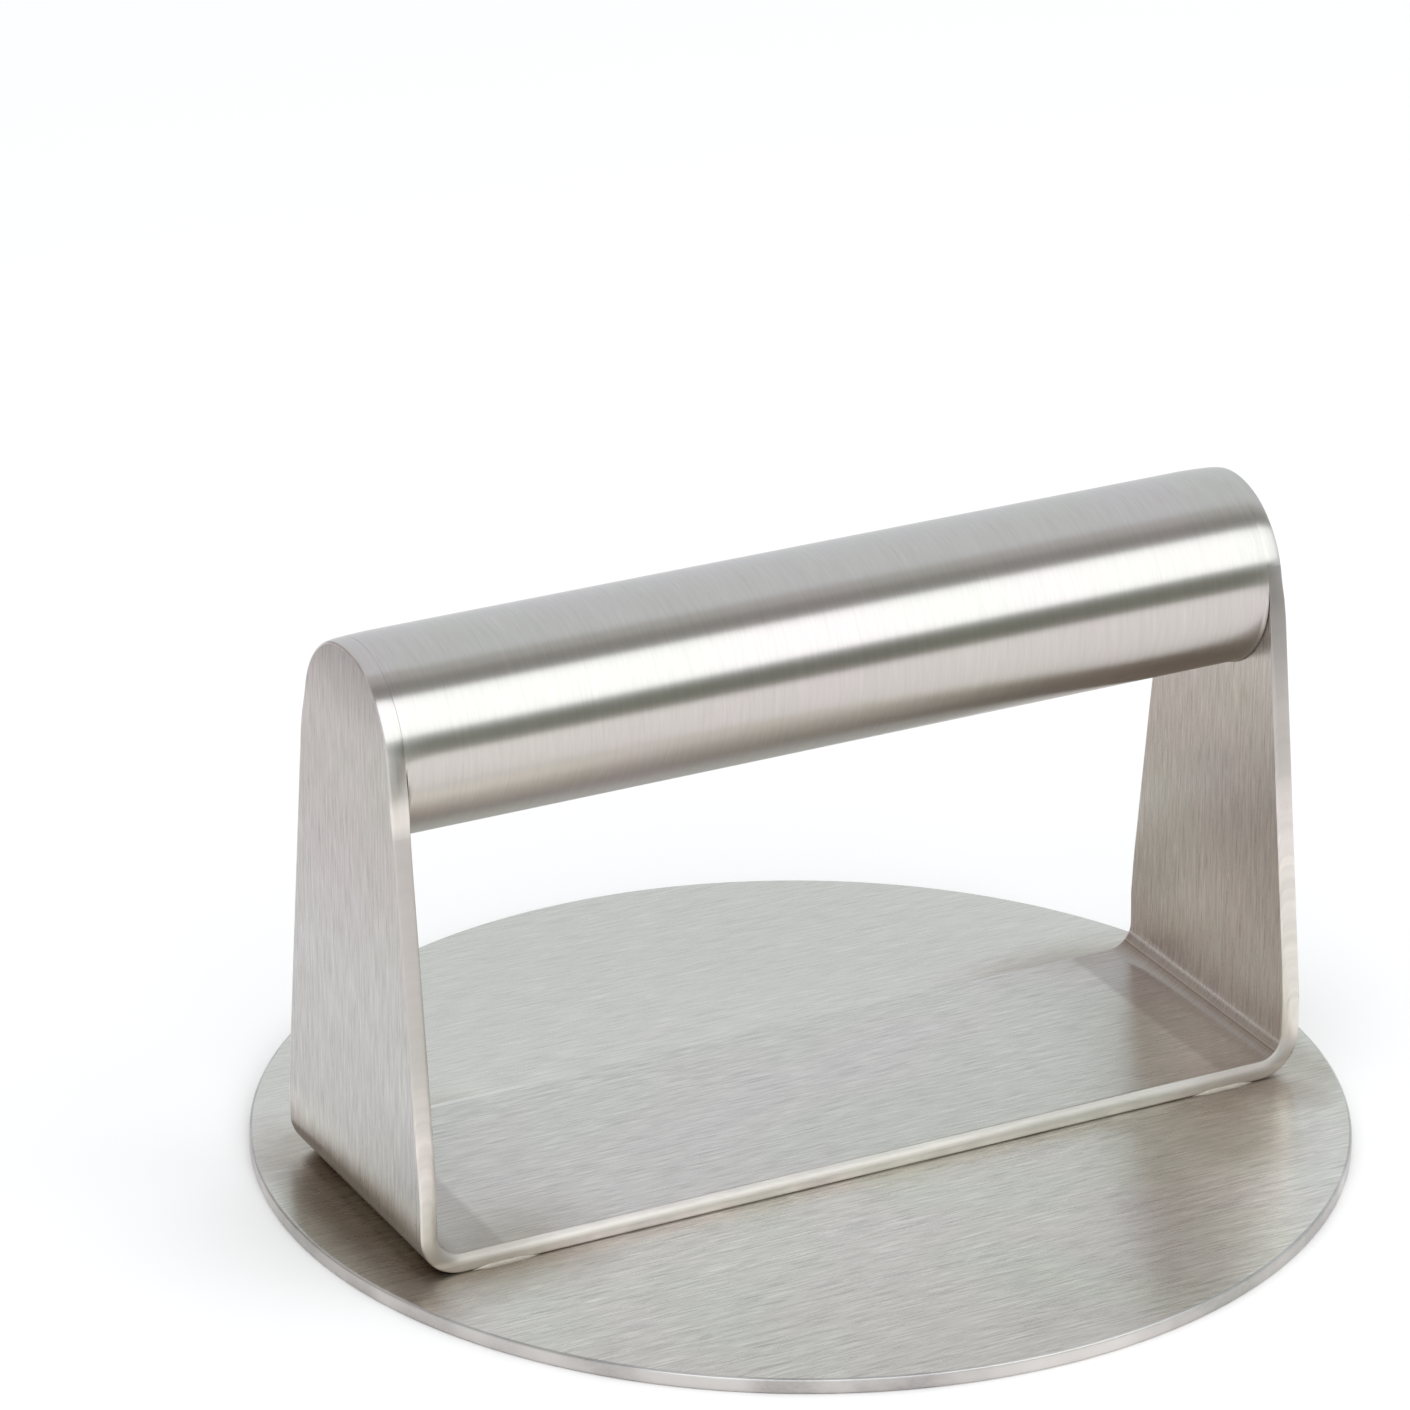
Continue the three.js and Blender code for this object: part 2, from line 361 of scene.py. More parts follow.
def edge_columns(sheet, outline):
    """Points through both cut edges, as a (front, back) pair of columns for each step of the outline."""
    edges = []
    for s, w, turn in outline:
        pair = []
        for side in (-1, 1):
            column = []
            for inset, depth in edge_profile(inner_rounding(s)):
                pulled_s = s - inset * math.sin(turn)
                pulled_w = w - inset * math.cos(turn)
                column.append(add_point(sheet, pulled_s, side * pulled_w, depth))
            pair.append(column)
        edges.append(pair)
    for end in (0, -1):
        edges[end][1] = edges[end][0]  # front and back meet on top of each leg
    return edges


def add_cut_edges(sheet, outline, edges):
    for index, (pair, following) in enumerate(zip(edges, edges[1:])):
        highest = max(abs(outline[index][0]), abs(outline[index + 1][0]))
        ground_from = GROUND_FROM_RIGHT if outline[index][0] > 0 else GROUND_FROM_LEFT
        wall = GROUND if highest > LEG_FOOT + ground_from - PLATE_TOP - BEND_OUTSIDE else CUT
        finish = [BRUSHED] + [wall] * (len(pair[0]) - 3) + [BRUSHED]
        sheet.band(pair[0], following[0], finish)
        sheet.band(following[1], pair[1], finish)


ACROSS_STEPS = 12


def face_rows(sheet, edges, layer, depth):
    """Rows of points across one face of the strip, between the ends of its edge columns."""
    rows = []
    for pair in edges:
        front, back = pair[0][layer], pair[1][layer]
        if front == back:
            rows.append([front] * (ACROSS_STEPS + 1))
            continue
        s, reach = sheet.flat[back]
        shares = steps(-1, 1, ACROSS_STEPS)[1:-1]
        rows.append([front] + [add_point(sheet, s, reach * share, depth) for share in shares] + [back])
    return rows


def make_bracket(materials):
    sheet = Sheet()
    half = half_outline()
    outline = [(-s, w, -turn) for s, w, turn in reversed(half)] + half[1:]
    edges = edge_columns(sheet, outline)
    add_cut_edges(sheet, outline, edges)
    outside = face_rows(sheet, edges, 0, 0)
    for row, following in zip(outside, outside[1:]):
        sheet.band(following, row, BRUSHED)
    inside = face_rows(sheet, edges, -1, SHEET)
    for row, following in zip(inside, inside[1:]):
        sheet.band(row, following, BRUSHED)
    return sheet.build("bracket_body", materials)


# ---- Tube handle ----

TUBE_STEPS = 256
TUBE_LENGTH_STEPS = 36
TUBE_END_STEPS = 8
FLARE_STEPS = 6


def make_ring(name, profile, radius_at, materials):
    """A body turned about the tube's centre line from a closed list of (x, radius) pairs."""
    sheet = Sheet()
    rows = []
    for x, radius in profile:
        row = []
        for turn in full_turn(TUBE_STEPS):
            reach = radius_at(x, radius, turn)
            place = Vector((x, reach * math.cos(turn), TUBE_CENTRE + reach * math.sin(turn)))
            row.append(sheet.point(rolled(place), (x, radius * turn)))
        rows.append(row)
    for row, following in zip(rows, rows[1:] + rows[:1]):
        sheet.band(row, following, 0, closed=True)
    return sheet.build(name, materials)


def make_tube(materials):
    """The tube ends on the legs, with a bevel at each end that the weld fills."""
    bore = TUBE_RADIUS - TUBE_WALL
    prepared = TUBE_RADIUS - TUBE_WELD
    shoulder = INNER_FACE - TUBE_WELD
    near_end = steps(shoulder - ROLL_OFF_REACH, shoulder, TUBE_END_STEPS)
    between = steps(-near_end[0], near_end[0], TUBE_LENGTH_STEPS)[1:-1]
    along = [-x for x in reversed(near_end)] + between + near_end
    outside = [(x, TUBE_RADIUS) for x in along]
    inside = [(INNER_FACE, prepared), (INNER_FACE, bore), (-INNER_FACE, bore), (-INNER_FACE, prepared)]

    def radius_at(x, radius, turn):
        if radius < TUBE_RADIUS:
            return radius
        place = (x, radius * math.cos(turn), radius * math.sin(turn))
        return radius - TUBE_WAVE * (0.5 + 0.5 * wave(place, TUBE_WAVE_LENGTH, TUBE_WAVE_SEED))

    return make_ring("tube_body", outside + inside, radius_at, materials)


def make_tube_weld(side, name, materials):
    """The weld is ground flush over the leg's round top. Below, it flares out to a thin open seam."""
    bead = steps(INNER_FACE - TUBE_WELD, INNER_FACE - SEAM_WIDTH, FLARE_STEPS)
    across = bead + [INNER_FACE - 0.8 * SEAM_WIDTH, INNER_FACE]
    root = TUBE_RADIUS - SEAM_GROOVE - SEAM_WIDTH
    profile = [(side * x, TUBE_RADIUS) for x in across] + [(side * INNER_FACE, root)]
    if side < 0:
        profile.reverse()

    def radius_at(x, radius, turn):
        if radius < TUBE_RADIUS:
            return radius
        upward = math.atan2(math.sin(turn), abs(math.cos(turn)))
        low = 1 - blend_between(SEAM_OPEN_BELOW, SEAM_CLOSED_ABOVE, upward)
        if abs(x) > INNER_FACE - 0.9 * SEAM_WIDTH:
            return radius - low * SEAM_GROOVE
        share = min((abs(x) - INNER_FACE + TUBE_WELD) / (TUBE_WELD - SEAM_WIDTH), 1)
        return radius + low * WELD_FLARE * share * share

    return make_ring(name, profile, radius_at, materials)


# ---- Seam welds between strip and plate ----

BEAD_STEPS = 90
BEAD_FACE_STEPS = 6
BEAD_FILL = 0.9  # share of the CAD weld's size that the bead has on average
BEAD_END = 0.04  # share of that left at its two ends
BEAD_TAPER = 2.6 * MM
BEAD_RIPPLE_LENGTH = 0.9 * MM
BEAD_RIPPLE = 0.04
BEAD_HOLLOW = 0.55  # 0 for a straight fillet and 1 for a quarter circle


def bead_section(reach, inside):
    """(y, height) round the bead's section: its face from the plate up to the strip, then its back."""
    section = []
    for turn in steps(0, math.pi / 2, BEAD_FACE_STEPS):
        hollow, straight = 1 - math.sin(turn), math.cos(turn) ** 2
        out = BEAD_HOLLOW * hollow + (1 - BEAD_HOLLOW) * straight
        up = BEAD_HOLLOW * (1 - math.cos(turn)) + (1 - BEAD_HOLLOW) * math.sin(turn) ** 2
        section.append((seam_low.y + reach * out, reach * up))
    return section + [(inside, reach), (inside, 0)]


def make_seam_weld(side_x, side_y, name, materials):
    """A small hollow fillet with faint ripples and tapered ends, on these sides of X = 0 and Y = 0."""
    sheet = Sheet()
    size = seam_high.z - seam_low.z
    inside = seam_low.y - 0.8 * OUTER_ARRIS
    rows = []
    for x in steps(seam_low.x, seam_high.x, BEAD_STEPS):
        from_end = min(x - seam_low.x, seam_high.x - x)
        swell = BEAD_END + (1 - BEAD_END) * blend_between(0, BEAD_TAPER, from_end)
        ripple = BEAD_RIPPLE * math.sin(2 * math.pi * x / BEAD_RIPPLE_LENGTH)
        ripple += BEAD_WAVE * wave((x, side_x, side_y), BEAD_WAVE_LENGTH, BEAD_WAVE_SEED)
        reach = size * swell * (BEAD_FILL + ripple)
        row = []
        for y, rise in bead_section(reach, inside):
            row.append(sheet.point((side_x * x, side_y * y, seam_low.z + rise)))
        rows.append(row)
    if side_x * side_y < 0:
        rows.reverse()  # a mirrored bead needs its faces turned round
    for row, following in zip(rows, rows[1:]):
        sheet.band(following, row, closed=True)
    sheet.face(rows[0])
    sheet.face(rows[-1][::-1])
    return sheet.build(name, materials)


# ---- Materials ----


class Graph:
    """A material's nodes, with short calls for the ones used here."""

    def __init__(self, name):
        self.material = bpy.data.materials.new(name)
        self.material.use_nodes = True
        self.tree = self.material.node_tree
        self.shader = self.tree.nodes["Principled BSDF"]

    def node(self, kind, inputs, **settings):
        made = self.tree.nodes.new(kind)
        for key, value in settings.items():
            setattr(made, key, value)
        for key, value in inputs.items():
            self.set(made.inputs[key], value)
        return made

    def set(self, socket, value):
        if isinstance(value, bpy.types.NodeSocket):
            self.tree.links.new(value, socket)
        else:
            socket.default_value = value

    def place(self):
        return self.node("ShaderNodeTexCoord", {}).outputs["Object"]

    def flat(self):
        return self.node("ShaderNodeUVMap", {}, uv_map="brush").outputs[0]

    def parts(self, vector):
        return self.node("ShaderNodeSeparateXYZ", {0: vector}).outputs

    def direction(self, x, y, z):
        return self.node("ShaderNodeCombineXYZ", {0: x, 1: y, 2: z}).outputs[0]

    def scaled(self, vector, scale):
        return self.node("ShaderNodeVectorMath", {0: vector, 1: scale}, operation="MULTIPLY").outputs[0]

    def math(self, operation, *values):
        inputs = dict(enumerate(values))
        return self.node("ShaderNodeMath", inputs, operation=operation).outputs[0]

    def product(self, first, *others):
        for other in others:
            first = self.math("MULTIPLY", first, other)
        return first

    def away(self, value, centre):
        """How far a value is from centre, on either side."""
        return self.math("ABSOLUTE", self.math("SUBTRACT", value, centre))

    def band(self, value, low, high, to_low=0.0, to_high=1.0):
        """to_low below low, to_high above high, and a smooth step between."""
        inputs = {0: value, 1: low, 2: high, 3: to_low, 4: to_high}
        return self.node("ShaderNodeMapRange", inputs, interpolation_type="SMOOTHSTEP").outputs[0]

    def window(self, value, rise, fall):
        """0, then 1 from the first pair of values to the second, then 0 again."""
        return self.product(self.band(value, *rise), self.band(value, *fall, 1.0, 0.0))

    def noise(self, vector, cells, detail, roughness):
        """Noise with this many cells to the metre along each axis of the vector."""
        place = self.scaled(vector, cells)
        inputs = {"Vector": place, "Scale": 1.0, "Detail": detail, "Roughness": roughness}
        return self.node("ShaderNodeTexNoise", inputs).outputs["Fac"]

    def speckle(self, cells, detail, roughness):
        """Noise that is the same along every axis."""
        return self.noise(self.place(), (cells, cells, cells), detail, roughness)

    def mix(self, share, first, second, blend_type="MIX"):
        inputs = {0: share, 6: first, 7: second}
        return self.node("ShaderNodeMix", inputs, data_type="RGBA", blend_type=blend_type).outputs[2]

    def times(self, first, second):
        return self.mix(1.0, first, second, "MULTIPLY")

    def coated(self, base, colour, *shares):
        """base with a colour laid over it, as far as the product of the shares says."""
        return self.mix(self.product(*shares), base, colour)

    def filtered(self, base, colour, *shares):
        """base multiplied by a colour, as far as the product of the shares says."""
        return self.times(base, self.mix(self.product(*shares), WHITE, colour))

    def relief(self, height, strength, distance):
        inputs = {"Strength": strength, "Distance": distance, "Height": height}
        return self.node("ShaderNodeBump", inputs).outputs[0]


PLATE_STEEL = (0.70, 0.665, 0.615)
RIM_STEEL = (0.43, 0.41, 0.395)
BRACKET_STEEL = (0.65, 0.61, 0.575)
# Painted shade of the legs' outsides, low down and towards the top
LEG_FOOT_SHADED_STEEL = (0.543, 0.524, 0.517)
LEG_TOP_SHADED_STEEL = (0.50, 0.466, 0.443)
EDGE_STEEL = (0.775, 0.722, 0.68)
TUBE_STEEL = (0.587, 0.545, 0.523)
# Painted shade next to the bends and at the foot of the legs
NEAR_BEND_SHADE = (0.25, 0.205, 0.18)
# Painted shade for the line where strip and plate meet and for the open seam
CREVICE_SHADE = (0.07, 0.055, 0.045)

# Heat tint of the welds, also laid on elsewhere as painted shade and painted reflection
HEAT_TINT_AND_SHADE = (0.33, 0.255, 0.19)
# Painted shade in the bends
IN_BEND_SHADE = (0.27, 0.207, 0.168)
EDGE_TINT = (0.32, 0.265, 0.23)
WELD_DARK = (0.37, 0.325, 0.275)
WELD_LIGHT = (0.54, 0.48, 0.42)

# Colours that only multiply the steel's own
WHITE = (1, 1, 1, 1)
PINKISH = (1.01, 0.99, 1.005, 1)
GREENISH = (0.985, 1.0, 0.975, 1)
# Painted light on the legs' insides
LEG_INSIDE_PAINTED_LIGHT = (1.52, 1.51, 1.55, 1)
# Painted light on the tube's lower half
TUBE_PAINTED_LIGHT = (1.3, 1.28, 1.28, 1)

# Brush lines: how many noise cells to the metre along them and across them
FINE_LINES = (190.0, 3000.0)
BROAD_LINES = (70.0, 1400.0)
NICKS = (160.0, 2200.0)

# Noise cells to the metre of what has no direction
HUE_PATCHES = 38.0
RIM_PATCHES = 60.0
TINT_DRIFT = 150.0
WELD_COLOURS = 420.0
WELD_PITS = 2600.0

BRUSH_DEPTH = 0.04 * MM
PIT_DEPTH = 0.05 * MM
BRUSH_CONTRAST = 0.6  # how far the brush lines go lighter and darker than the steel's colour

# Noise values between which the nicks set in
BRIGHT_NICKS = (0.66, 0.74)
DARK_NICKS = (0.27, 0.33)

AXIS_X, AXIS_Y, AXIS_Z = (1, 0, 0), (0, 1, 0), (0, 0, 1)


def shade(colour, share=1.0):
    return (colour[0] * share, colour[1] * share, colour[2] * share, 1)


def ratio(colour, other, share=1.0):
    return (*(share * one / two for one, two in zip(colour, other)), 1)


def stretched(lines, ring):
    """Noise cells drawn out along x, or with ring round the x axis."""
    along, across = lines
    return (across, along, along) if ring else (along, across, across)


def brushed_steel(graph, vector, colour, roughness=0.28, contrast=1.0, ring=False):
    """Colour, roughness and relief of brushed steel, its lines along x of the vector or round x."""
    fine = graph.noise(vector, stretched(FINE_LINES, ring), 2.0, 0.6)
    broad = graph.noise(vector, stretched(BROAD_LINES, ring), 3.0, 0.6)
    nicks = graph.noise(vector, stretched(NICKS, ring), 1.0, 0.4)
    lines = graph.math("MULTIPLY_ADD", fine, 0.7, graph.math("MULTIPLY", broad, 0.3))
    spread = BRUSH_CONTRAST * contrast
    base = graph.mix(lines, shade(colour, 1 - spread), shade(colour, 1 + spread))
    bright = graph.band(nicks, *BRIGHT_NICKS, 0.0, 0.6 * contrast)
    dark = graph.band(nicks, *DARK_NICKS, 0.5 * contrast, 0.0)
    base = graph.coated(base, shade(colour, 1.3), bright)
    base = graph.coated(base, shade(colour, 0.65), dark)
    patches = graph.band(graph.speckle(HUE_PATCHES, 2.0, 0.5), 0.40, 0.60)
    base = graph.times(base, graph.mix(patches, PINKISH, GREENISH))
    rough = graph.math("MULTIPLY_ADD", broad, 0.12 * contrast, roughness - 0.06 * contrast)
    return base, rough, graph.relief(lines, 0.15 * contrast, BRUSH_DEPTH)


def finish_steel(graph, base, rough, bump, anisotropic=0.0, tangent=None):
    """Sets the metal's shader. The tangent lies across the brush lines."""
    shader = graph.shader
    shader.inputs["Metallic"].default_value = 1.0
    shader.inputs["Anisotropic"].default_value = anisotropic
    graph.set(shader.inputs["Base Color"], base)
    graph.set(shader.inputs["Roughness"], rough)
    graph.set(shader.inputs["Normal"], bump)
    if tangent:
        graph.set(shader.inputs["Tangent"], graph.direction(*tangent))
    return graph.material


def nearness(graph, centre, reach, uneven=0.4, mirrored=True):
    """1 at the place (x, y), falling to 0 at these distances from it along x and y.

    When mirrored, the four places (+-x, +-y) count.
    """
    parts = graph.parts(graph.place())
    square = 0.0
    for axis in (0, 1):
        along = graph.math("ABSOLUTE", parts[axis]) if mirrored else parts[axis]
        away = graph.math("SUBTRACT", along, centre[axis])
        away = graph.math("DIVIDE", away, reach[axis])
        square = graph.math("MULTIPLY_ADD", away, away, square)
    drift = graph.speckle(TINT_DRIFT, 2.0, 0.6)
    distance = graph.math("MULTIPLY_ADD", drift, uneven, graph.math("SQRT", square))
    return graph.band(distance, 0.1 + uneven / 2, 1.0 + uneven / 2, 1.0, 0.0)


# ---- Plate materials ----

SEAM_CENTRE = ((seam_low.x + seam_high.x) / 2 + 2 * MM, HALF_WIDTH)

# Painted reflection and shade of the legs on the plate in front of the strip, in heat-tint colour: (x, y),
# reach along each, share
FRONT_PAINTED_SHADE = (
    ((46 * MM, -31 * MM), (13 * MM, 14 * MM), 0.4),
    ((58 * MM, -25 * MM), (7 * MM, 8 * MM), 0.35),
    ((-64 * MM, -27 * MM), (8 * MM, 8 * MM), 0.35),
)


def plate_tint_and_shade(graph, base):
    """Heat tint by the seam welds, then painted reflection and shade in front of the strip and painted shade
    at the foot of its bends, in the same colour.
    """
    base = graph.coated(base, shade(HEAT_TINT_AND_SHADE), nearness(graph, SEAM_CENTRE, (23 * MM, 12 * MM)), 0.6)
    # Painted reflection and shade of the legs, not heat tint
    for centre, reach, share in FRONT_PAINTED_SHADE:
        patch = nearness(graph, centre, reach, mirrored=False)
        base = graph.coated(base, shade(HEAT_TINT_AND_SHADE), patch, share)
    # Painted shade on the plate at the foot of each bend, coloured like heat tint
    bend_foot_shade = nearness(graph, (64.8 * MM, 0), (5.7 * MM, 27 * MM), 0.3)
    return graph.coated(base, shade(HEAT_TINT_AND_SHADE, 0.85), bend_foot_shade, 0.6)


def plate_crevice(graph, base):
    """Painted shade: a dark line on the plate's top along the strip's two edges, where strip and plate meet.
    """
    x, y, z = graph.parts(graph.place())
    from_strip = graph.away(graph.math("ABSOLUTE", y), HALF_WIDTH)
    beside = graph.band(from_strip, 0.15 * MM, 0.4 * MM, 0.35, 0.0)
    within = graph.band(graph.math("ABSOLUTE", x), BEND_CENTRE, OUTER_FACE, 1.0, 0.0)
    on_top = graph.band(z, 0.5 * PLATE_TOP, PLATE_TOP)
    return graph.coated(base, shade(CREVICE_SHADE), beside, within, on_top)


def plate_steel():
    """Brushed along X, with fainter brush lines behind the strip."""
    graph = Graph("plate_brushed_steel")
    base, rough, bump = brushed_steel(graph, graph.place(), PLATE_STEEL)
    y = graph.parts(graph.place())[1]
    base = graph.coated(base, shade(PLATE_STEEL), graph.band(y, 8 * MM, 36 * MM, 0.0, 0.5))
    base = plate_tint_and_shade(graph, base)
    base = plate_crevice(graph, base)
    return finish_steel(graph, base, rough, bump, 0.92, AXIS_Y)


def rim_steel():
    """The plate's cut rim: blotchy, with a painted highlight in the middle of its front and back."""
    graph = Graph("plate_rim_steel")
    base, rough, bump = brushed_steel(graph, graph.place(), RIM_STEEL, 0.32, 0.5)
    uneven = graph.band(graph.speckle(RIM_PATCHES, 3.0, 0.6), 0.35, 0.65)
    base = graph.coated(base, shade(RIM_STEEL, 1.45), uneven)
    # Painted highlight: the rim is lighter in the middle of its front and back
    from_middle = graph.math("ABSOLUTE", graph.parts(graph.place())[0])
    middle = graph.band(from_middle, 5 * MM, 16 * MM, 0.7, 0.0)
    base = graph.coated(base, shade(RIM_STEEL, 1.8), middle)
    return finish_steel(graph, base, rough, bump, 0.7, AXIS_Z)


# ---- Bracket materials ----

STRIP_TOP = PLATE_TOP + SHEET
STRIP_TO_LEG = (5 * MM, 8 * MM)  # heights between which the strip's looks give way to the legs'
BEND_SHADE_FROM = 50.3 * MM  # s where the painted shade next to the bends sets in
CREASE = (BEND_CENTRE + LEG_FOOT) / 2  # s of the fine line in the middle of each bend


def strip_tint_and_shade(graph, base):
    """Heat tint on the strip near its seam welds, and painted shade of the left leg at its front left, in
    the same colour.
    """
    z = graph.parts(graph.place())[2]
    low = graph.band(z, 5 * MM, 15 * MM, 1.0, 0.0)
    by_weld = nearness(graph, SEAM_CENTRE, (12 * MM, 8 * MM))
    # Painted shade of the left leg on the strip, coloured like heat tint
    left_leg_shade = nearness(graph, (-47 * MM, -16 * MM), (13 * MM, 10 * MM), mirrored=False)
    for patch in (by_weld, left_leg_shade):
        base = graph.coated(base, shade(HEAT_TINT_AND_SHADE), patch, low, 0.3)
    return base


def leg_faces(graph, base):
    """Painted shade on the legs' outsides, deeper towards the top and darkest at the foot, and painted light
    on their insides low down.
    """
    x, y, z = graph.parts(graph.place())
    from_middle = graph.math("ABSOLUTE", x)
    outside = graph.band(from_middle, INNER_FACE + 0.5 * MM, OUTER_FACE - 0.8 * MM)
    inside = graph.band(from_middle, INNER_FACE + 0.3 * MM, INNER_FACE + 0.8 * MM, 1.0, 0.0)
    # Painted shade on the outside faces, deeper towards the top
    foot_shading = ratio(LEG_FOOT_SHADED_STEEL, BRACKET_STEEL)
    top_shading = ratio(LEG_TOP_SHADED_STEEL, BRACKET_STEEL)
    round_top_shading = ratio(LEG_TOP_SHADED_STEEL, BRACKET_STEEL, 0.68)
    outside_shading = graph.mix(graph.band(z, 32 * MM, 58 * MM), foot_shading, top_shading)
    outside_shading = graph.mix(graph.band(z, 67 * MM, 79 * MM), outside_shading, round_top_shading)
    base = graph.filtered(base, outside_shading, outside, graph.band(z, 8 * MM, 14 * MM))
    # Painted light on the legs' insides, low down
    low = graph.window(z, STRIP_TO_LEG, (12 * MM, 38 * MM))
    base = graph.filtered(base, LEG_INSIDE_PAINTED_LIGHT, inside, low, graph.band(y, 0, 16 * MM, 1.0, 0.4))
    # Painted shade at the foot of the legs' outsides, by the bends
    return graph.coated(base, shade(NEAR_BEND_SHADE), outside, graph.band(z, 6.5 * MM, 11 * MM, 0.6, 0.0))


def bend_faces(graph, base):
    """Painted shade towards the bends and in them, with a fine painted dark line in the crease and a fine
    light line beside it.
    """
    s = graph.math("ABSOLUTE", graph.parts(graph.flat())[0])
    # Painted shade growing towards the bends
    before_bend = graph.band(s, BEND_CENTRE, BEND_CENTRE + 4 * MM, 1.0, 0.0)
    shade_near_bend = graph.band(s, BEND_SHADE_FROM, BEND_SHADE_FROM + 1.2 * MM, 0.0, 0.34)
    fading = graph.band(s, 32 * MM, 51 * MM, 0.0, 0.13)
    for share in (shade_near_bend, fading):
        base = graph.coated(base, shade(NEAR_BEND_SHADE), share, before_bend)
    # Painted shade in the bends
    into_bend = graph.band(s, BEND_CENTRE - 1 * MM, BEND_CENTRE + 3 * MM, 0.0, 0.78)
    out_of_bend = graph.band(s, LEG_FOOT - 4.5 * MM, LEG_FOOT - 0.5 * MM, 1.0, 0.0)
    base = graph.coated(base, shade(IN_BEND_SHADE), into_bend, out_of_bend)
    # A fine painted shade line in the crease, and a fine light line beside it
    dark_line = graph.band(graph.away(s, CREASE), 0.08 * MM, 0.24 * MM, 0.4, 0.0)
    light_line = graph.band(graph.away(s, CREASE + 0.36 * MM), 0.08 * MM, 0.22 * MM, 0.3, 0.0)
    base = graph.coated(base, shade(NEAR_BEND_SHADE, 0.4), dark_line)
    return graph.coated(base, shade(BRACKET_STEEL), light_line)


def back_edge_highlight(graph, base):
    """Painted highlight along the strip's back edge, towards the left."""
    x, y, z = graph.parts(graph.place())
    at_edge = graph.band(y, HALF_WIDTH - 1.7 * MM, HALF_WIDTH - 1.2 * MM, 0.0, 0.6)
    at_left = graph.band(x, -34 * MM, -14 * MM, 1.0, 0.0)
    on_strip = graph.band(z, 4.5 * MM, 5 * MM, 1.0, 0.0)
    return graph.coated(base, shade(BRACKET_STEEL, 1.35), at_edge, at_left, on_strip)


def bracket_steel():
    """Brushed along the strip and up the legs."""
    graph = Graph("bracket_brushed_steel")
    base, rough, bump = brushed_steel(graph, graph.flat(), BRACKET_STEEL, contrast=0.9)
    for stage in (strip_tint_and_shade, leg_faces, bend_faces, back_edge_highlight):
        base = stage(graph, base)
    return finish_steel(graph, base, rough, bump, 0.88, AXIS_Y)


def strip_edges(graph, base, right):
    """The strip's cut edges: painted shade at the right and along the top, and a painted highlight lower
    down at the left.
    """
    x, y, z = graph.parts(graph.place())
    # Painted shade on the right part of the strip's edges
    base = graph.coated(base, shade(EDGE_STEEL, 0.75), right, graph.band(z, *STRIP_TO_LEG, 1.0, 0.0), 0.5)
    # Painted shade along the top of the front edges, little at the back
    upper = graph.product(
        graph.band(z, STRIP_TOP - 0.6 * MM, STRIP_TOP - 0.2 * MM),
        graph.band(z, *STRIP_TO_LEG, 0.45, 0.0),
    )
    base = graph.coated(base, shade(EDGE_STEEL, 0.5), upper, graph.band(y, -5 * MM, 5 * MM, 1.0, 0.2))
    # Painted highlight lower down the edge at the left
    painted_light_band = graph.window(z, (3.0 * MM, 3.3 * MM), (3.6 * MM, 3.9 * MM))
    return graph.coated(base, shade(EDGE_STEEL, 1.22), painted_light_band, graph.band(x, 2 * MM, 30 * MM, 1.0, 0.1))


def through_sheet(graph):
    """Direction through the sheet's thickness, which turns in the bends: across the linished lines."""
    x, _, z = graph.parts(graph.place())
    past_bend_centre = graph.math("SUBTRACT", graph.math("ABSOLUTE", x), BEND_CENTRE)
    outwards = graph.math("MULTIPLY", graph.math("SIGN", x), graph.math("MAXIMUM", past_bend_centre, 0.0))
    upwards = graph.math("MINIMUM", graph.math("SUBTRACT", z, PLATE_TOP + BEND_OUTSIDE), 0.0)
    return (outwards, 0.0, upwards)


def edge_steel():
    """Cut edges, linished along their length: light low down, with painted shade upwards towards the tube's
    welds.
    """
    graph = Graph("bracket_cut_edge_steel")
    base, rough, bump = brushed_steel(graph, graph.flat(), EDGE_STEEL, 0.4, 0.6)
    x, _, z = graph.parts(graph.place())
    right = graph.band(x, 4 * MM, 34 * MM)
    height = graph.math("MULTIPLY_ADD", right, -16 * MM, z)  # the painted shade on the right leg sets in 16 mm higher
    base = graph.coated(base, shade(EDGE_STEEL, 0.6), graph.band(height, 18 * MM, 32 * MM, 0.0, 0.7))
    # Near the tube the edges take the tube's steel on the left and a painted shade of it on the right
    top_colour_and_shade = graph.mix(right, shade(TUBE_STEEL), shade(TUBE_STEEL, 0.65))
    base = graph.coated(base, top_colour_and_shade, graph.band(z, 50 * MM, 62 * MM, 0.0, 0.8))
    base = strip_edges(graph, base, right)
    by_weld = nearness(graph, (SEAM_CENTRE[0] + 2 * MM, HALF_WIDTH), (13 * MM, 8 * MM))
    base = graph.coated(base, shade(EDGE_TINT), by_weld, graph.band(z, 5 * MM, 10 * MM, 1.0, 0.0), 0.45)
    return finish_steel(graph, base, rough, bump, 0.7, through_sheet(graph))


# ---- Tube and weld materials ----


